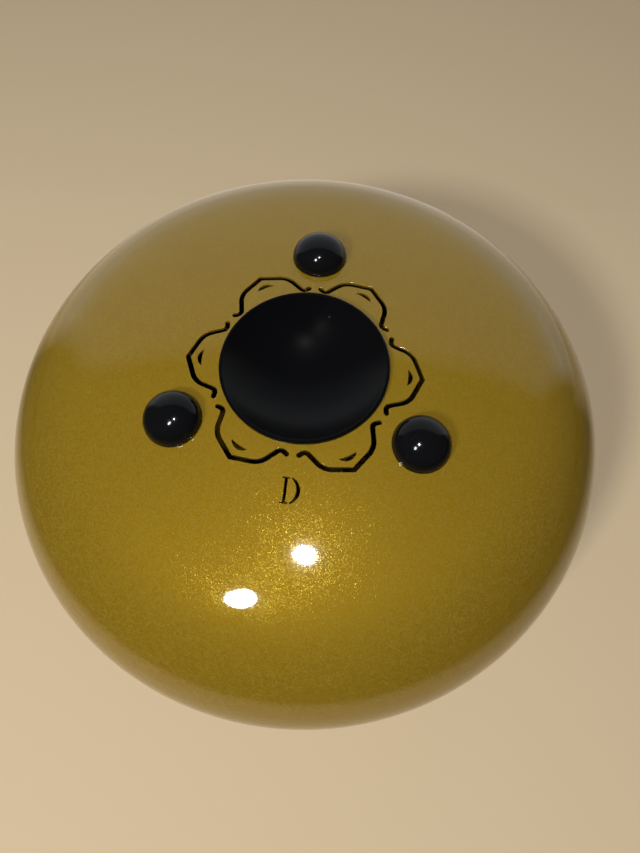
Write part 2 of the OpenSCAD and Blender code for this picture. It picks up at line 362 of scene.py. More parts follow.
def plated_steel():
    """Zinc-plated steel with a fine grain and a faint yellow cast."""
    steel = Finish(bpy.data.materials.new("plated steel"))
    cast = steel.noise(CAST_SCALE, detail=3.0)
    return steel.set(
        Base_Color=steel.mixed(steel.spread(cast, 0.35, 0.65), STEEL_GREY, STEEL_YELLOW),
        Metallic=1.0,
        Roughness=steel.spread(cast, 0.3, 0.7, *STEEL_ROUGHNESS),
        Normal=steel.bump(steel.noise(MARK_SCALE), strength=0.15, depth=0.00005),
    )


GOLD = gold_flake_paint()
BOWL_BLACK = black_bowl_paint()
FOOT_RUBBER = moulded_rubber("glossy foot rubber", 0.10)
SEAL_RUBBER = moulded_rubber("seal rubber", 0.45)
STEEL = plated_steel()


# The domed sheet
def blended(r, lean, inset):
    """The normal's lean at a radius, eased across the join of the crown's and the shoulder's arcs."""
    crown, shoulder = CROWN_R - inset, SHOULDER_R - inset
    near_join = np.clip(JOIN_BLEND - np.abs(r - JOIN_SIN * crown), 0, None)
    return np.minimum(1.0, lean + near_join**2 / (4 * JOIN_BLEND) * (1 / shoulder - 1 / crown))


def sheet_face(places, side, inset):
    """Height and normal of a face of the sheet at places in plan. side is 1 for the underside
    shell and -1 for the playing shell, and inset is how deep the face lies under the outer one."""
    r = np.maximum(np.hypot(places[:, 0], places[:, 1]), ON_AXIS)
    crown, shoulder = CROWN_R - inset, SHOULDER_R - inset
    on_crown = r <= JOIN_SIN * crown
    past = np.clip(r - SHOULDER_C, 0, shoulder)
    rise = np.where(
        on_crown, np.sqrt(crown**2 - np.minimum(r, crown) ** 2) - CROWN_DROP, np.sqrt(shoulder**2 - past**2)
    )
    lean = blended(r, np.where(on_crown, r / crown, past / shoulder), inset)
    z = SEAM_Z + side * rise
    if side < 0 and inset == 0:
        lean = np.where(r < FLAT_R, 0.0, lean)
        z = np.maximum(z, 0.0)
    normal = np.column_stack([places / r[:, None] * lean[:, None], side * np.sqrt(1 - lean**2)])
    return z, normal if inset == 0 else -normal


class Sheet:
    """A piece of the domed sheet in the making: points, faces, and a normal for each face corner."""

    def __init__(self, side):
        self.side = side
        self.places, self.count = [], 0
        self.faces, self.normals = [], []

    def add(self, places):
        first = self.count
        self.places.append(places)
        self.count += len(places)
        return np.arange(first, self.count)

    def cover(self, corners, normals, over=False):
        """Faces by their corners, which run the right way round on the underside shell."""
        if over != (self.side < 0):
            corners, normals = corners[:, ::-1], normals[:, ::-1]
        self.faces += corners.tolist()
        self.normals.append(normals.reshape(-1, 3))

    def on_face(self, plan, inset, drop=0.0):
        z, normal = sheet_face(plan, self.side, inset)
        return np.column_stack([plan, z - self.side * drop]), normal

    def mesh(self, name):
        mesh = bpy.data.meshes.new(name)
        mesh.from_pydata((np.concatenate(self.places) * MM).tolist(), [], self.faces)
        mesh.polygons.foreach_set("use_smooth", [True] * len(mesh.polygons))
        normals = np.concatenate(self.normals)
        normals /= np.linalg.norm(normals, axis=1)[:, None]
        mesh.normals_split_custom_set(normals.tolist())
        return mesh


def turned_left(loop):
    """Each edge's normal on its left, where the sheet is."""
    way = np.roll(loop, -1, 0) - loop
    way /= np.linalg.norm(way, axis=1)[:, None]
    return np.column_stack([-way[:, 1], way[:, 0]])


def corner_reach(loop):
    """How far a corner moves into the sheet when its edges move in by one."""
    left = turned_left(loop)
    before = np.roll(left, 1, 0)
    return (left + before) / np.maximum(1 + (left * before).sum(1), MITRE_LIMIT)[:, None]


def smooth_ends(loop):
    """An edge's wall normals at its two ends: shared with its neighbour unless they meet sharply."""
    left = turned_left(loop)
    before, after = np.roll(left, 1, 0), np.roll(left, -1, 0)
    sharp = math.cos(SMOOTH_TURN)
    start = np.where(((left * before).sum(1) > sharp)[:, None], left + before, left)
    end = np.where(((left * after).sum(1) > sharp)[:, None], left + after, left)
    flat = np.zeros((len(loop), 1))
    return [np.column_stack([-way / np.linalg.norm(way, axis=1)[:, None], flat]) for way in (start, end)]


def inside(plan, loop):
    """Which places lie inside a closed outline."""
    hits = np.zeros(len(plan), bool)
    near = np.flatnonzero(((plan >= loop.min(0)) & (plan <= loop.max(0))).all(1))
    if len(near):
        x, y = plan[near, 0][:, None], plan[near, 1][:, None]
        x0, y0 = loop[:, 0], loop[:, 1]
        x1, y1 = np.roll(x0, -1), np.roll(y0, -1)
        rise = np.where(y1 == y0, 1.0, y1 - y0)
        crossing = ((y0 > y) != (y1 > y)) & (x < x0 + (y - y0) * (x1 - x0) / rise)
        hits[near] = crossing.sum(1) % 2 == 1
    return hits


def inside_any(plan, loops):
    hits = np.zeros(len(plan), bool)
    for loop in loops:
        hits |= inside(plan, loop)
    return hits


def clear_of(plan, loops, gap):
    """The places that keep a gap from every point of the outlines."""
    keep = np.ones(len(plan), bool)
    for loop in loops:
        near = np.flatnonzero(((plan >= loop.min(0) - gap) & (plan <= loop.max(0) + gap)).all(1))
        if len(near):
            away = np.linalg.norm(plan[near][:, None] - loop[None], axis=2).min(1)
            keep[near[away < gap]] = False
    return plan[keep]


def spaced(loop, step):
    """The outline with points added until no edge is longer than the step."""
    filled = []
    for start, end in zip(loop, np.roll(loop, -1, 0)):
        parts = max(1, math.ceil(np.linalg.norm(end - start) / step))
        filled += [start + (end - start) * k / parts for k in range(parts)]
    return np.array(filled)


def rotated(loop, angle):
    c, s = math.cos(angle), math.sin(angle)
    return loop @ np.array([[c, s], [-s, c]])


def circle_points(radius, steps, centre=(0.0, 0.0)):
    angles = np.arange(steps) * TURN / steps
    return np.column_stack([np.cos(angles), np.sin(angles)]) * radius + centre


def rest_points(radius, step, extra=()):
    """Rings of places over a disc, each ring half a step round from the last."""
    rings = []
    for number, r in enumerate(np.arange(step, radius - step / 2, step)):
        steps = max(6, int(TURN * r / step))
        rings.append(rotated(circle_points(r, steps), 0.5 * (number % 2) * TURN / steps))
    return np.concatenate([*rings, *extra])


def spans(loops):
    """Each outline's slice of the places of them all."""
    ends = accumulate(len(loop) for loop in loops)
    return [slice(end - len(loop), end) for loop, end in zip(loops, ends)]


def filled(outlines, rest):
    """The outlines' places and those of the rest between them, and the triangles that join them. The
    sheet lies inside the first outline and outside the others."""
    first, *holes = outlines
    rest = clear_of(rest, outlines, FILL_GAP)
    rest = rest[inside(rest, first) & ~inside_any(rest, holes)]
    flat = np.concatenate([*outlines, rest])
    edges = []
    for span in spans(outlines):
        numbers = list(range(span.start, span.stop))
        edges += zip(numbers, numbers[1:] + numbers[:1])
    places = [tuple(place) for place in flat]
    points, _, triangles, sources, _, _ = delaunay_2d_cdt(places, edges, [], INSIDE, SAME_PLACE)
    assert len(points) == len(flat), "outlines of the sheet touch"
    corners = np.array([source[0] for source in sources])[np.array(triangles)]
    return flat, corners[~inside_any(flat[corners].mean(1), holes)]


def patch(sheet, loops, rounding, open_first, rest):
    """Both faces of the sheet between closed outlines, and the walls along them. The sheet is on each
    outline's left. rounding gives each outline's paint edge, as one size or one a point. With
    open_first the first outline gets no wall, and its points on both faces are returned."""
    edges = [np.broadcast_to(edge, len(loop)) for loop, edge in zip(loops, rounding)]
    reaches = [corner_reach(loop) * edge[:, None] for loop, edge in zip(loops, edges)]
    starts = [loop + reach for loop, reach in zip(loops, reaches)]
    if open_first:
        starts[0] = loops[0]
    flat, corners = filled(starts, rest)
    outer_places, outer_normals = sheet.on_face(flat, 0)
    outer = sheet.add(outer_places)
    sheet.cover(outer[corners], outer_normals[corners])
    under = np.concatenate([*loops, flat[spans(loops)[-1].stop :]])
    inner_places, inner_normals = sheet.on_face(under, WALL)
    inner = sheet.add(inner_places)
    sheet.cover(inner[corners], inner_normals[corners], over=True)
    rows = list(zip(loops, reaches, edges, spans(loops)))
    for loop, reach, edge, span in rows[1:] if open_first else rows:
        cut_wall(sheet, loop, reach, edge, outer[span], outer_normals[span], inner[span])
    return outer[: len(loops[0])], inner[: len(loops[0])]


def cut_wall(sheet, loop, reach, edge, ring, normal, low):
    """The wall along a cut: the rounded paint edge, from a ring of points on the outer face with their
    normals, and then the straight cut to the low ring."""
    walls = smooth_ends(loop)
    tilt = 0.0
    for step in range(1, EDGE_STEPS + 1):
        next_tilt = math.pi / 2 * step / EDGE_STEPS
        plan = loop + reach * (1 - math.sin(next_tilt))
        places, next_normal = sheet.on_face(plan, 0, edge * (1 - math.cos(next_tilt)))
        next_ring = sheet.add(places)
        wall_row(sheet, (ring, normal, tilt), (next_ring, next_normal, next_tilt), walls)
        ring, normal, tilt = next_ring, next_normal, next_tilt
    wall_row(sheet, (ring, normal, tilt), (low, normal, tilt), walls)


def band(ring, next_ring):
    """The corners of the four-sided faces between two rings of points."""
    return np.column_stack([ring, next_ring, np.roll(next_ring, -1), np.roll(ring, -1)])


def wall_row(sheet, row, next_row, walls):
    """One row of faces along a cut. A row is a ring of points, the sheet's normals there, and how far
    the wall has turned from them. walls are the straight cut's normals at each edge's two ends."""

    def bent(face, angle, wall):
        return math.cos(angle) * face + math.sin(angle) * wall

    (ring, normal, tilt), (next_ring, next_normal, next_tilt) = row, next_row
    start, end = walls
    normals = [
        bent(normal, tilt, start),
        bent(next_normal, next_tilt, start),
        bent(np.roll(next_normal, -1, 0), next_tilt, end),
        bent(np.roll(normal, -1, 0), tilt, end),
    ]
    sheet.cover(band(ring, next_ring), np.stack(normals, axis=1))


def revolve(sheet, runs, first_ring=None, last_ring=None):
    """Faces of revolution along a section's runs. A run is rows of (radius, height above the seam,
    the normal's share outwards, its share upwards), and meets the next at its last row's place."""
    around = circle_points(1.0, ROUND_STEPS)

    def ring_at(row):
        z = np.full((ROUND_STEPS, 1), SEAM_Z + sheet.side * row[1])
        return sheet.add(np.column_stack([around * row[0], z]))

    def normals_at(row):
        return np.column_stack([around * row[2], np.full((ROUND_STEPS, 1), sheet.side * row[3])])

    opening = ring = ring_at(runs[0][0]) if first_ring is None else first_ring
    for run in runs:
        for row, next_row in zip(run, run[1:]):
            if next_row is not runs[-1][-1]:
                next_ring = ring_at(next_row)
            else:
                next_ring = opening if last_ring is None else last_ring
            a, b = normals_at(row), normals_at(next_row)
            normals = np.stack([a, b, np.roll(b, -1, 0), np.roll(a, -1, 0)], axis=1)
            sheet.cover(band(ring, next_ring), normals)
            ring = next_ring


def arc_rows(inset, start, end, steps, way):
    """Rows along the shoulder between two angles from upright."""
    rows = []
    for angle in np.linspace(start, end, steps + 1):
        s, c = math.sin(angle), math.cos(angle)
        r = SHOULDER_R - inset
        lean = blended(SHOULDER_C + r * s, s, inset) if c > 0 else s
        rows.append((SHOULDER_C + r * s, r * c, way * lean, way * math.copysign(math.sqrt(1 - lean**2), c)))
    return rows


def crown_rows(inset, start, end, steps, way):
    """Rows along the crown between two radii in plan."""
    r = CROWN_R - inset
    rows = []
    for x in np.linspace(start, end, steps + 1):
        lean = blended(x, x / r, inset)
        rows.append((x, math.sqrt(r * r - x * x) - CROWN_DROP, way * lean, way * math.sqrt(1 - lean**2)))
    return rows


WELD_ANGLE = math.acos(-(SHOULDER_R - WELD_DEPTH) / SHOULDER_R / math.sqrt(2)) - math.pi / 4
JOIN_ANGLE = math.asin(JOIN_SIN)
HALF = math.sqrt(0.5)
OUTWARDS, INWARDS = 1, -1


def rim_runs(cut_r):
    """The sheet's section from a cut radius out over the shoulder, round the lip and back inside."""
    root = DRUM_R - WELD_DEPTH
    lip = DRUM_R - WALL
    outer_join, inner_join = JOIN_SIN * CROWN_R, JOIN_SIN * (CROWN_R - WALL)
    if cut_r < inner_join:
        outside = crown_rows(0, cut_r, outer_join, 6, OUTWARDS)[:-1]
        outside += arc_rows(0, JOIN_ANGLE, WELD_ANGLE, 40, OUTWARDS)
        within = arc_rows(WALL, math.pi / 2, JOIN_ANGLE, 24, INWARDS)
        within += crown_rows(WALL, inner_join, cut_r, 4, INWARDS)[1:]
    else:
        begin = math.asin((cut_r - SHOULDER_C) / SHOULDER_R)
        end = math.asin((cut_r - SHOULDER_C) / (SHOULDER_R - WALL))
        outside = arc_rows(0, begin, WELD_ANGLE, 30, OUTWARDS)
        within = arc_rows(WALL, math.pi / 2, end, 20, INWARDS)
    start = outside[-1]
    chamfer = [(start[0], start[1], HALF, -HALF), (root, 0.0, HALF, -HALF)]
    lip_face = [(root, 0.0, 0.0, -1.0), (lip, 0.0, 0.0, -1.0)]
    return [outside, chamfer, lip_face, within]


# Cut outlines, drawn with the sheet on their left
def walked_line():
    """A petal's centre line on its right, from its tip to its hooked end, with each point's heading."""
    place, heading = np.zeros(2), -PETAL_TIP_ANGLE
    places, headings = [place], [heading]
    for length, turn in PETAL_RUNS:
        steps = max(2, math.ceil(abs(turn) / PETAL_STEP_DEGREES))
        for _ in range(steps):
            way = math.radians(heading + turn / steps / 2)
            place = place + length / steps * np.array([math.cos(way), math.sin(way)])
            heading += turn / steps
            places.append(place)
            headings.append(heading)
    return np.array(places), np.radians(headings)


def petal_outline():
    line, heading = walked_line()
    slope = math.tan(math.radians(360 / PETALS - PETAL_GAP_ANGLE) / 2)
    line = line * (PETAL_TIP_R * slope / (line[-1][0] - line[-1][1] * slope)) + (0.0, PETAL_TIP_R)
    half = PETAL_SLOT_W / 2
    over = np.column_stack([-np.sin(heading), np.cos(heading)]) * half
    tip = np.array([0.0, half / math.cos(math.radians(PETAL_TIP_ANGLE))])
    bends = heading[-1] + math.pi / 2 - np.arange(1, PETAL_END_STEPS) * math.pi / PETAL_END_STEPS
    end = line[-1] + np.column_stack([np.cos(bends), np.sin(bends)]) * half
    back = (line[1:] - over[1:])[::-1]
    right = np.concatenate([[line[0] + tip], line[1:] + over[1:], end, back, [line[0] - tip]])
    left = right[1:-1][::-1] * (-1, 1)
    return np.concatenate([right, left])


def arc_between(half_w, rise, steps, base=(0.0, 0.0), turn=0.0):
    """Points of an arc over a chord of half_w to each side, rise high, from its left end to its right."""
    radius = (half_w**2 + rise**2) / (2 * rise)
    reach = math.asin(min(1.0, half_w / radius))
    reach = math.pi - reach if rise > radius else reach
    angles = np.linspace(-reach, reach, steps + 1)
    arc = np.column_stack([np.sin(angles) * radius, np.cos(angles) * radius + rise - radius])
    c, s = math.cos(turn), math.sin(turn)
    return arc @ np.array([[c, s], [-s, c]]) + base


def crescent_outline():
    back = arc_between(CRESCENT_W / 2, CRESCENT_RISE, 18, (0.0, CRESCENT_R))
    hollow = arc_between(CRESCENT_W / 2, CRESCENT_RISE - CRESCENT_T, 12, (0.0, CRESCENT_R))
    return np.concatenate([back, hollow[-2:0:-1]])


def letter_outlines():
    """The stencilled D: a stem with serifs, and a bowl that stands clear of it."""
    h, half = LETTER_H, LETTER_H / 2
    x, w, serif_w, serif_h = -0.12 * h, 0.05 * h, 0.14 * h, 0.05 * h
    high, low = half - serif_h, serif_h - half
    stem = np.array([
        (x - serif_w, half), (x + serif_w, half), (x + serif_w, high), (x + w, high),
        (x + w, low), (x + serif_w, low), (x + serif_w, -half), (x - serif_w, -half),
        (x - serif_w, low), (x - w, low), (x - w, high), (x - serif_w, high),
    ])
    bowl_x, bulge, thin, thick = 0.1 * h, 0.34 * h, 0.055 * h, 0.135 * h
    outer = arc_between(half, bulge, 26, (bowl_x, 0.0), -math.pi / 2)
    inner = arc_between(half - thin, bulge - thick, 22, (bowl_x, 0.0), -math.pi / 2)
    drop = np.array([0.0, -LETTER_TOP_R - half])
    return [stem + drop, np.concatenate([outer, inner[::-1]]) + drop]


def runs_left(loop):
    """Whether a closed outline runs anticlockwise."""
    x, y = np.array(loop).T
    return (x * np.roll(y, -1) - y * np.roll(x, -1)).sum() > 0


def hole(loop):
    """The outline run clockwise, so that the sheet round the hole is on its left."""
    return loop[::-1] if runs_left(loop) else loop


def tongue_outline(length, width, root_r, angle, grow=0.0, short=0.0):
    """A tongue in plan, run anticlockwise, square at its root and round at its tip, and each point's
    paint edge. grow widens it to its slit, and short leaves a gap at its root."""
    half = width / 2 + grow
    tip_c = root_r - length + width / 2
    bends = np.linspace(-math.pi / 2, math.pi / 2, TONGUE_TIP_STEPS + 1)
    tip = np.column_stack([tip_c - np.cos(bends) * half, -np.sin(bends) * half])
    root = np.array([(root_r - short, -half), (root_r - short, half)])
    loop = spaced(np.concatenate([root, tip]), TONGUE_CUT_STEP)
    at_root = np.abs(loop[:, 0] - (root_r - short)) < SAME_PLACE
    return rotated(loop, angle), np.where(at_root, ROOT_EDGE, PAINT_EDGE)


# Pieces
def piece(name, mesh, body, replaced, finish):
    made = bpy.data.objects.new(name, mesh)
    bpy.context.scene.collection.objects.link(made)
    mesh.materials.clear()
    mesh.materials.append(finish)
    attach(made, body)
    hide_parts(*replaced)
    return made


def underside_shell():
    cuts = [spaced(petal_outline(), CUT_STEP), crescent_outline()]
    holes = [circle_points(PORT_R, PORT_STEPS)]
    holes += [rotated(cut, k * TURN / PETALS - math.pi / 2) for k in range(PETALS) for cut in cuts]
    holes += [spaced(loop, CUT_STEP) for loop in letter_outlines()]
    studs = circle_points(FOOT_RING_R, FEET) @ np.array([[0, 1], [-1, 0]])
    holes += [circle_points(STUD_R + STUD_PLAY, 32, stud) for stud in studs]
    loops = [circle_points(UNDERSIDE_CUT_R, ROUND_STEPS)] + [hole(loop) for loop in holes]
    sheet = Sheet(1)
    rest = rest_points(UNDERSIDE_CUT_R, FILL_STEP)
    rings = patch(sheet, loops, [PAINT_EDGE] * len(loops), True, rest)
    revolve(sheet, rim_runs(UNDERSIDE_CUT_R), *rings)
    piece("underside_dome", sheet.mesh("underside_dome"), "drum", ["underside_shell"], GOLD)


def playing_shell_and_tongues():
    loops, edges = [circle_points(PLAYING_CUT_R, ROUND_STEPS)], [PAINT_EDGE]
    for ring, notes, width, root_r in (
        ("outer", OUTER_NOTES, OUTER_W, OUTER_ROOT_R), ("inner", INNER_NOTES, INNER_W, INNER_ROOT_R),
    ):
        for number, note in enumerate(notes, 1):
            length = LOW_TONGUE_L * 2 ** (-note / 24)
            angle = (number - 1) * TURN / len(notes)
            slit, slit_edge = tongue_outline(length, width, root_r, angle, grow=SLIT_W)
            loops.append(slit[::-1])
            edges.append(slit_edge[::-1])
            own, own_edge = tongue_outline(length, width, root_r, angle, short=ROOT_GAP)
            reed = Sheet(-1)
            patch(reed, [own], [own_edge], False, rest_points(PLAYING_CUT_R, FILL_STEP))
            name, body = f"{ring}_tongue_{number}", f"{ring} tongue {number}"
            piece(f"{ring}_reed_{number}", reed.mesh(name), body, [name], GOLD)
    sheet = Sheet(-1)
    rest = rest_points(PLAYING_CUT_R, PLAYING_FILL_STEP, [circle_points(FLAT_R, 96)])
    rings = patch(sheet, loops, edges, True, rest)
    revolve(sheet, rim_runs(PLAYING_CUT_R), *rings)
    piece("playing_dome", sheet.mesh("playing_dome"), "drum", ["playing_shell"], GOLD)


def seam_bead():
    """The weld in the groove between the shells, dressed flush and painted over."""
    sheet = Sheet(1)
    outside = arc_rows(0, WELD_ANGLE, math.pi - WELD_ANGLE, 6, 1)
    top, low = outside[0], outside[-1]
    root = DRUM_R - WELD_DEPTH
    under = [(low[0], low[1], -HALF, -HALF), (root, 0.0, -HALF, -HALF)]
    over = [(root, 0.0, -HALF, HALF), (top[0], top[1], -HALF, HALF)]
    revolve(sheet, [outside, under, over])
    piece("seam_bead", sheet.mesh("seam_bead"), "drum", ["seam_weld"], GOLD)


def turned_mesh(name, section, steps, crease=35.0):
    """A section of (radius, height) places turned about the Z axis. It ends on the axis, or closes on
    itself. A section that runs clockwise gives faces that point outwards, and any other is flipped."""
    angles = np.arange(steps) * TURN / steps
    places, rings = [], []
    for r, z in section:
        if r < ON_AXIS:
            rings.append([len(places)])
            places.append((0.0, 0.0, z * MM))
        else:
            rings.append(list(range(len(places), len(places) + steps)))
            places += [(math.cos(a) * r * MM, math.sin(a) * r * MM, z * MM) for a in angles]
    pairs = list(zip(rings, rings[1:]))
    if section[0][0] > ON_AXIS:
        pairs.append((rings[-1], rings[0]))
    faces = []
    for a, b in pairs:
        for k in range(steps):
            j = (k + 1) % steps
            if len(a) == 1:
                faces.append((a[0], b[k], b[j]))
            elif len(b) == 1:
                faces.append((a[k], b[0], a[j]))
            else:
                faces.append((a[k], b[k], b[j], a[j]))
    mesh = bpy.data.meshes.new(name)
    mesh.from_pydata(places, [], faces)
    mesh.polygons.foreach_set("use_smooth", [True] * len(faces))
    mesh.set_sharp_from_angle(angle=math.radians(crease))
    if runs_left(section):
        mesh.flip_normals()
    return mesh


def arc_places(centre, radius, start, end, steps):
    """(radius, height) places of an arc, by angles in degrees from outwards, turning upwards."""
    return [
        (centre[0] + radius * math.cos(a), centre[1] + radius * math.sin(a))
        for a in np.radians(np.linspace(start, end, steps + 1))
    ]


ROLL_C = PORT_R + LIP_OVERLAP - ROLL_R
SEAL_IN_R = ROLL_C - SEAL_W / 2
SEAL_Z = TOP_CENTRE_Z + math.sqrt(CROWN_R**2 - SEAL_IN_R**2)
ROLL_Z = SEAL_Z + SEAL_H + ROLL_R
BOWL_R = (ROLL_C - ROLL_R * math.sin(BOWL_ANGLE)) / math.sin(BOWL_ANGLE)
BOWL_CENTRE_Z = ROLL_Z + (ROLL_R + BOWL_R) * math.cos(BOWL_ANGLE)


def port_bowl():
    """The bowl spun from sheet: a cap of a sphere that leaves its rolled lip smoothly."""
    angle = math.degrees(BOWL_ANGLE)
    centre = (0.0, BOWL_CENTRE_Z)
    outer_r, reach = BOWL_R + BOWL_WALL, ROLL_R + BOWL_R
    corner = math.degrees(math.acos((reach**2 + ROLL_R**2 - outer_r**2) / (2 * reach * ROLL_R)))
    turn = math.degrees(math.acos((reach**2 + outer_r**2 - ROLL_R**2) / (2 * reach * outer_r)))
    within = arc_places(centre, BOWL_R, -90, angle - 90, 64)
    roll = arc_places((ROLL_C, ROLL_Z), ROLL_R, 90 + angle, angle - 270 + corner, 40)
    outside = arc_places(centre, outer_r, angle - 90 + turn, -90, 40)
    section = [(0.0, within[0][1])] + within[1:] + roll[1:] + outside[1:-1] + [(0.0, outside[-1][1])]
    mesh = turned_mesh("port_dish", section, PORT_STEPS)
    piece("port_dish", mesh, "drum", ["port_bowl"], BOWL_BLACK)


def rounded_ring(inner, outer, low, high, radius, steps=4):
    """A ring's section with rounded corners, run clockwise from its inner low corner."""
    left, right, under, over = inner + radius, outer - radius, low + radius, high - radius
    corners = [((left, under), 270), ((left, over), 180), ((right, over), 90), ((right, under), 0)]
    return [
        place for centre, start in corners for place in arc_places(centre, radius, start, start - 90, steps)
    ]


def bowl_seal():
    section = rounded_ring(SEAL_IN_R, SEAL_IN_R + SEAL_W, SEAL_Z, SEAL_Z + SEAL_H, SEAL_EDGE)
    mesh = turned_mesh("seal_ring", section, PORT_STEPS)
    piece("seal_ring", mesh, "drum", ["bowl_seal"], SEAL_RUBBER)


def crown_ring_tree():
    """Sets copies of a piece, drawn about the Z axis, square on the shell's crown round the port."""
    tree = bpy.data.node_groups.new("ring on the crown", "GeometryNodeTree")
    kinds = {
        "Geometry": "NodeSocketGeometry", "Copies": "NodeSocketInt", "Crown radius": "NodeSocketFloat",
        "Centre height": "NodeSocketFloat", "Tilt": "NodeSocketFloat", "First angle": "NodeSocketFloat",
        "Finish": "NodeSocketMaterial",
    }
    for name, kind in kinds.items():
        tree.interface.new_socket(name, in_out="INPUT", socket_type=kind)
    tree.interface.new_socket("Geometry", in_out="OUTPUT", socket_type="NodeSocketGeometry")

    def add(kind, links=(), **settings):
        made = tree.nodes.new(kind)
        for key, value in settings.items():
            setattr(made, key, value)
        for key, source in links:
            if hasattr(source, "is_output"):
                tree.links.new(source, made.inputs[key])
            else:
                made.inputs[key].default_value = source
        return made.outputs[0] if made.outputs else made

    given = tree.nodes.new("NodeGroupInput").outputs
    lift = add("ShaderNodeCombineXYZ", [("Z", given["Crown radius"])])
    lifted = add("GeometryNodeTransform", [("Geometry", given["Geometry"]), ("Translation", lift)])
    index = add("GeometryNodeInputIndex")
    share = add("ShaderNodeMath", [(0, index), (1, given["Copies"])], operation="DIVIDE")
    turn = add("ShaderNodeMath", [(0, share), (1, TURN)], operation="MULTIPLY")
    heading = add("ShaderNodeMath", [(0, turn), (1, given["First angle"])], operation="ADD")
    euler = add("ShaderNodeCombineXYZ", [("Y", given["Tilt"]), ("Z", heading)])
    pose = add("FunctionNodeEulerToRotation", [("Euler", euler)])
    points = add("GeometryNodePoints", [("Count", given["Copies"])])
    ring = add("GeometryNodeInstanceOnPoints", [("Points", points), ("Instance", lifted), ("Rotation", pose)])
    centre = add("ShaderNodeCombineXYZ", [("Z", given["Centre height"])])
    solid = add("GeometryNodeRealizeInstances", [("Geometry", ring)])
    placed = add("GeometryNodeTransform", [("Geometry", solid), ("Translation", centre)])
    painted = add("GeometryNodeSetMaterial", [("Geometry", placed), ("Material", given["Finish"])])
    tree.links.new(painted, tree.nodes.new("NodeGroupOutput").inputs["Geometry"])
    return tree


def ring_of(tree, name, mesh, finish):
    """The mesh's copies on the crown, as one plain mesh."""
    maker = bpy.data.objects.new(name, mesh)
    bpy.context.scene.collection.objects.link(maker)
    modifier = maker.modifiers.new("ring", "NODES")
    modifier.node_group = tree
    values = {
        "Copies": FEET, "Crown radius": CROWN_R * MM, "Centre height": TOP_CENTRE_Z * MM,
        "Tilt": math.asin(FOOT_RING_R / CROWN_R), "First angle": math.pi / 2, "Finish": finish,
    }
    for item in tree.interface.items_tree:
        if item.in_out == "INPUT" and item.name in values:
            modifier[item.identifier] = values[item.name]
    depsgraph = bpy.context.evaluated_depsgraph_get()
    made = bpy.data.meshes.new_from_object(maker.evaluated_get(depsgraph))
    made.name = name
    bpy.data.objects.remove(maker)
    return made


def foot_mesh():
    """A rubber dome whose foot follows the crown, with a fine moulded lip round its band."""
    def on_crown(r):
        return math.sqrt(CROWN_R**2 - r * r) - CROWN_R

    rim = FOOT_R - FOOT_LIP
    base = [(r, on_crown(r)) for r in np.linspace(0.0, rim, 6)][:-1]
    corner = arc_places((rim, on_crown(rim) + FOOT_LIP), FOOT_LIP, -90, 0, 5)
    corner += arc_places((rim, FOOT_BAND_H - FOOT_LIP), FOOT_LIP, 0, 90, 6)
    angles = np.linspace(0.0, math.pi / 2, 41)[1:-1]
    dome = [(rim * math.cos(a), FOOT_BAND_H + FOOT_DOME_H * math.sin(a)) for a in angles]
    dome.append((0.0, FOOT_BAND_H + FOOT_DOME_H))
    return turned_mesh("foot", base + corner + dome, FOOT_STEPS, crease=60.0)


WASHER_SAG = (CROWN_R - WALL) - math.sqrt((CROWN_R - WALL) ** 2 - WASHER_R**2)
WASHER_Z = -WALL - WASHER_SAG - WASHER_H


def stud_mesh():
    """A threaded stud from its flat head in the rubber down through the shell, washer and nut."""
    low = WASHER_Z - NUT_H - STUD_TAIL
    root = STUD_R - THREAD_DEPTH
    z = low + STUD_TIP_H
    section = [(0.0, low), (root, low), (root, z)]
    while z + THREAD_PITCH < -WALL:
        section += [(STUD_R, z + THREAD_PITCH / 2), (root, z + THREAD_PITCH)]
        z += THREAD_PITCH
    section += [(STUD_R, -WALL), (STUD_R, STUD_HEAD_DEPTH)]
    top = STUD_HEAD_DEPTH + STUD_HEAD_H
    head = rounded_ring(STUD_R, STUD_HEAD_R, STUD_HEAD_DEPTH, top, STUD_HEAD_EDGE)
    section += head[: len(head) // 2 - 1 : -1] + [(0.0, top)]
    return turned_mesh("stud", section, FASTENER_STEPS)


def washer_mesh():
    section = rounded_ring(STUD_R + STUD_PLAY, WASHER_R, WASHER_Z, WASHER_Z + WASHER_H, WASHER_EDGE, 2)
    return turned_mesh("washer", section, FASTENER_STEPS)


def nut_mesh():
    """A hex nut with its corners chamfered on both faces, and its bore's edges."""
    low, high = WASHER_Z - NUT_H, WASHER_Z
    bore, mouth, face = STUD_R + NUT_PLAY, STUD_R + NUT_PLAY + NUT_BEVEL, NUT_AF / 2 * NUT_FACE_SHARE
    angles = np.arange(NUT_STEPS) * TURN / NUT_STEPS
    hexagon = NUT_AF / 2 / np.cos((angles + math.pi / 6) % (math.pi / 3) - math.pi / 6)
    fall = (hexagon - face) * math.tan(NUT_CHAMFER)
    places, rings = [], []
    for radii, heights in (
        (bore, low + NUT_BEVEL), (mouth, low), (face, low), (hexagon, low + fall),
        (hexagon, high - fall), (face, high), (mouth, high), (bore, high - NUT_BEVEL),
    ):
        rings.append(range(len(places), len(places) + NUT_STEPS))
        ring = [np.cos(angles) * radii, np.sin(angles) * radii, np.broadcast_to(heights, NUT_STEPS)]
        places += (np.column_stack(ring) * MM).tolist()
    faces = [
        (a[k], b[k], b[(k + 1) % NUT_STEPS], a[(k + 1) % NUT_STEPS])
        for a, b in zip(rings, rings[1:] + rings[:1])
        for k in range(NUT_STEPS)
    ]
    mesh = bpy.data.meshes.new("nut")
    mesh.from_pydata(places, [], faces)
    mesh.flip_normals()
    mesh.polygons.foreach_set("use_smooth", [True] * len(faces))
    mesh.set_sharp_from_angle(angle=math.radians(20))
    return mesh


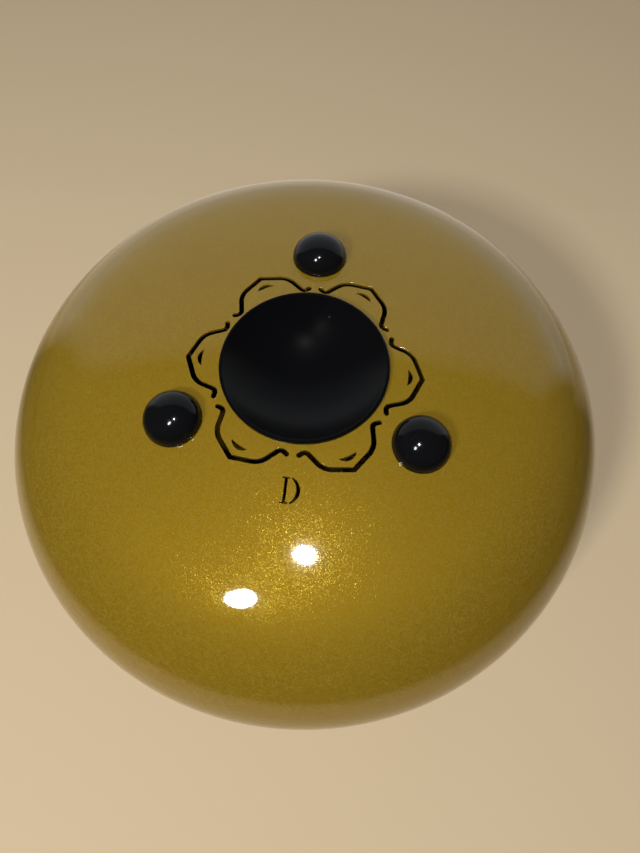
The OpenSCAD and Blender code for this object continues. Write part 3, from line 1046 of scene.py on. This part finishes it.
def feet_and_fasteners():
    tree = crown_ring_tree()
    feet = [f"foot_{k}" for k in range(1, FEET + 1)]
    for name, mesh, slot, replaced, finish in (
        ("domed_feet", foot_mesh(), "rubber", feet, FOOT_RUBBER),
        ("threaded_studs", stud_mesh(), "steel", ["foot_studs"], STEEL),
        ("plain_washers", washer_mesh(), "steel", ["foot_washers"], STEEL),
        ("hex_nuts", nut_mesh(), "steel", ["foot_nuts"], STEEL),
    ):
        piece(name, ring_of(tree, name, mesh, finish), "drum", replaced, finish)


underside_shell()
playing_shell_and_tongues()
seam_bead()
port_bowl()
bowl_seal()
feet_and_fasteners()


# Floor and backdrop. A reach is where a change starts and ends, in metres
FLOOR_HALF = 6.0
FLOOR_COLOUR = (0.52, 0.41, 0.265, 1.0)
# Painted shade: the dark colour that gloss sees on the board away from the drum
GLOSS_SHADE_COLOUR = (0.05, 0.045, 0.04, 1.0)
BACKDROP_COLOUR = (0.60, 0.59, 0.57, 1.0)
NO_GLOW = (0.0, 0.0, 0.0, 1.0)
FADE_REACH = (0.78, 2.4)
BOARD_MIDDLE = (0.0, -0.12, 0.0)
BOARD_REACH = (0.30, 0.44)
BACK_REACH = (0.04, 0.10)
BACK_SLOPE = 0.5


def floor_finish():
    """Pale board that fades into the backdrop far off. Gloss sees it pale only near the drum and in a wedge
    behind it. Elsewhere gloss sees painted shade: the board is painted dark to gloss, as if the room beyond
    were dark."""
    board = Finish(bpy.data.materials.new("pale board"))
    offset = board.vectors("SUBTRACT", {0: board.places(), 1: BOARD_MIDDLE})
    away = board.vectors("LENGTH", {0: offset}, "Value")
    behind = board.part(offset, "Y") - abs(board.part(offset, "X")) * BACK_SLOPE
    # Painted shade in the gloss: outside the ring round the drum and the wedge behind it, gloss sees the
    # board painted dark
    outside = board.spread(away, *BOARD_REACH) * board.spread(behind, *BACK_REACH, 1.0, 0.0)
    faded = board.spread(away, *FADE_REACH) * board.ray("Camera")
    return board.set(
        Base_Color=board.mixed(outside * board.ray("Glossy"), FLOOR_COLOUR, GLOSS_SHADE_COLOUR),
        Roughness=0.8,
        Specular_IOR_Level=0.2,
        Emission_Color=board.mixed(faded, NO_GLOW, BACKDROP_COLOUR),
        Emission_Strength=1.0,
    )


def pale_floor():
    corners = [(x * FLOOR_HALF, y * FLOOR_HALF, 0.0) for x, y in ((-1, -1), (1, -1), (1, 1), (-1, 1))]
    mesh = bpy.data.meshes.new("floor")
    mesh.from_pydata(corners, [], [(0, 1, 2, 3)])
    mesh.materials.append(floor_finish())
    floor = bpy.data.objects.new("floor", mesh)
    bpy.context.scene.collection.objects.link(floor)


pale_floor()


# Lights
def soft_light(name, shape, size, place, way, power, turn=0.0):
    """A flat lamp that the camera doesn't see. It has its back towards way, and turn is within its plane."""
    lamp = bpy.data.lights.new(name, "AREA")
    lamp.shape = shape
    lamp.size, lamp.size_y = size
    lamp.energy = power
    holder = bpy.data.objects.new(name, lamp)
    bpy.context.scene.collection.objects.link(holder)
    holder.location = place
    aim = Vector(way).to_track_quat("Z", "Y") @ Quaternion((0.0, 0.0, 1.0), turn)
    holder.rotation_euler = aim.to_euler()
    holder.visible_camera = False
    return holder


# A wide soft box behind the drum, seen in the gloss alone. It is darker at its foot, and fades out at
# its ends and its top edge
BOX_SIZE = (1.19, 0.58)
BOX_PLACE = (0.03, 0.259, 0.29)
BOX_TURN = math.radians(4)
BOX_COLOUR = (0.95, 0.98, 1.0)
BOX_LEVELS = {
    "Y": [(0.0, 0.22), (0.12, 0.35), (0.25, 0.75), (0.55, 0.50), (0.85, 0.38), (1.0, 0.0)],
    "X": [(0.0, 0.0), (0.1, 1.0), (0.9, 1.0), (1.0, 0.0)],
}

box_way = (-math.sin(BOX_TURN), math.cos(BOX_TURN), 0.0)
box_power = math.pi * BOX_SIZE[0] * BOX_SIZE[1]
soft_box = soft_light("soft box", "RECTANGLE", BOX_SIZE, BOX_PLACE, box_way, box_power)
soft_box.visible_diffuse = False
soft_box.data.color = BOX_COLOUR
glow = Finish(soft_box.data, "Emission")
over = glow.node("ShaderNodeNewGeometry", output="Parametric")
levels = []
for axis, stops in BOX_LEVELS.items():
    greys = [(at, (level, level, level, 1.0)) for at, level in stops]
    levels.append(glow.node("ShaderNodeValToRGB", {"stops": greys}, {"Fac": glow.part(over, axis)}))
glow.set(Strength=levels[0] * levels[1])

# Two oval lamps overhead, each where the gloss at a spot on the crown mirrors it to the camera
LAMP_POWER = 9.7
for name, across, place, spot, turn in (
    ("near lamp", (0.16, 0.28), (-0.318, -0.614, 1.634), (-0.0164, -0.123, 0.1413), math.radians(6)),
    ("high lamp", (0.11, 0.075), (0.005, -0.252, 1.738), (0.0119, -0.0992, 0.1456), 0.0),
):
    soft_light(name, "ELLIPSE", across, place, Vector(place) - Vector(spot), LAMP_POWER, turn)

# A light from the front left, which casts the shadows and doesn't show in the gloss
WINDOW_SIZE = (0.3, 0.3)
WINDOW_PLACE = (-0.80, -1.20, 1.45)
WINDOW_WAY = (-0.80, -1.20, 1.33)
WINDOW_POWER = 24.0
WINDOW_COLOUR = (1.0, 0.98, 0.95)

window = soft_light("window", "RECTANGLE", WINDOW_SIZE, WINDOW_PLACE, WINDOW_WAY, WINDOW_POWER)
window.visible_glossy = False
window.data.color = WINDOW_COLOUR

# The room: dim all round, and a pale backdrop to the camera
ROOM_STOPS = [(0.0, (0.055, 0.055, 0.055, 1.0)), (0.6, (0.08, 0.08, 0.085, 1.0))]

world = bpy.data.worlds.new("studio")
bpy.context.scene.world = world
sky = Finish(world, "Background")
way = sky.node("ShaderNodeTexCoord", output="Generated")
room = sky.node("ShaderNodeValToRGB", {"stops": ROOM_STOPS}, {"Fac": sky.part(way, "Z")})
sky.set(Color=sky.mixed(sky.ray("Camera"), room, BACKDROP_COLOUR))

# The camera, as fitted to the photograph's outlines. Its focal length is in the photograph's pixels
PHOTO_HEIGHT = 853.0
FOCAL_LENGTH = 650.0
CAMERA_PLACE = (0.02509, -0.16701, 0.45718)
CAMERA_RIGHT = (0.99406917, 0.10864629, 0.00474008)
CAMERA_UP = (-0.10141808, 0.91043816, 0.40101962)
CAMERA_FORWARD = (-0.03925374, 0.39912197, -0.9160572)

camera = bpy.data.cameras.new("photo view")
camera.sensor_width = 36.0
camera.lens = FOCAL_LENGTH * camera.sensor_width / PHOTO_HEIGHT
view = bpy.data.objects.new("photo view", camera)
bpy.context.scene.collection.objects.link(view)
backward = [-share for share in CAMERA_FORWARD]
rows = [list(row) for row in zip(CAMERA_RIGHT, CAMERA_UP, backward, CAMERA_PLACE)]
view.matrix_world = Matrix([*rows, [0, 0, 0, 1]])
bpy.context.scene.camera = view
bpy.context.scene.view_settings.view_transform = "Standard"
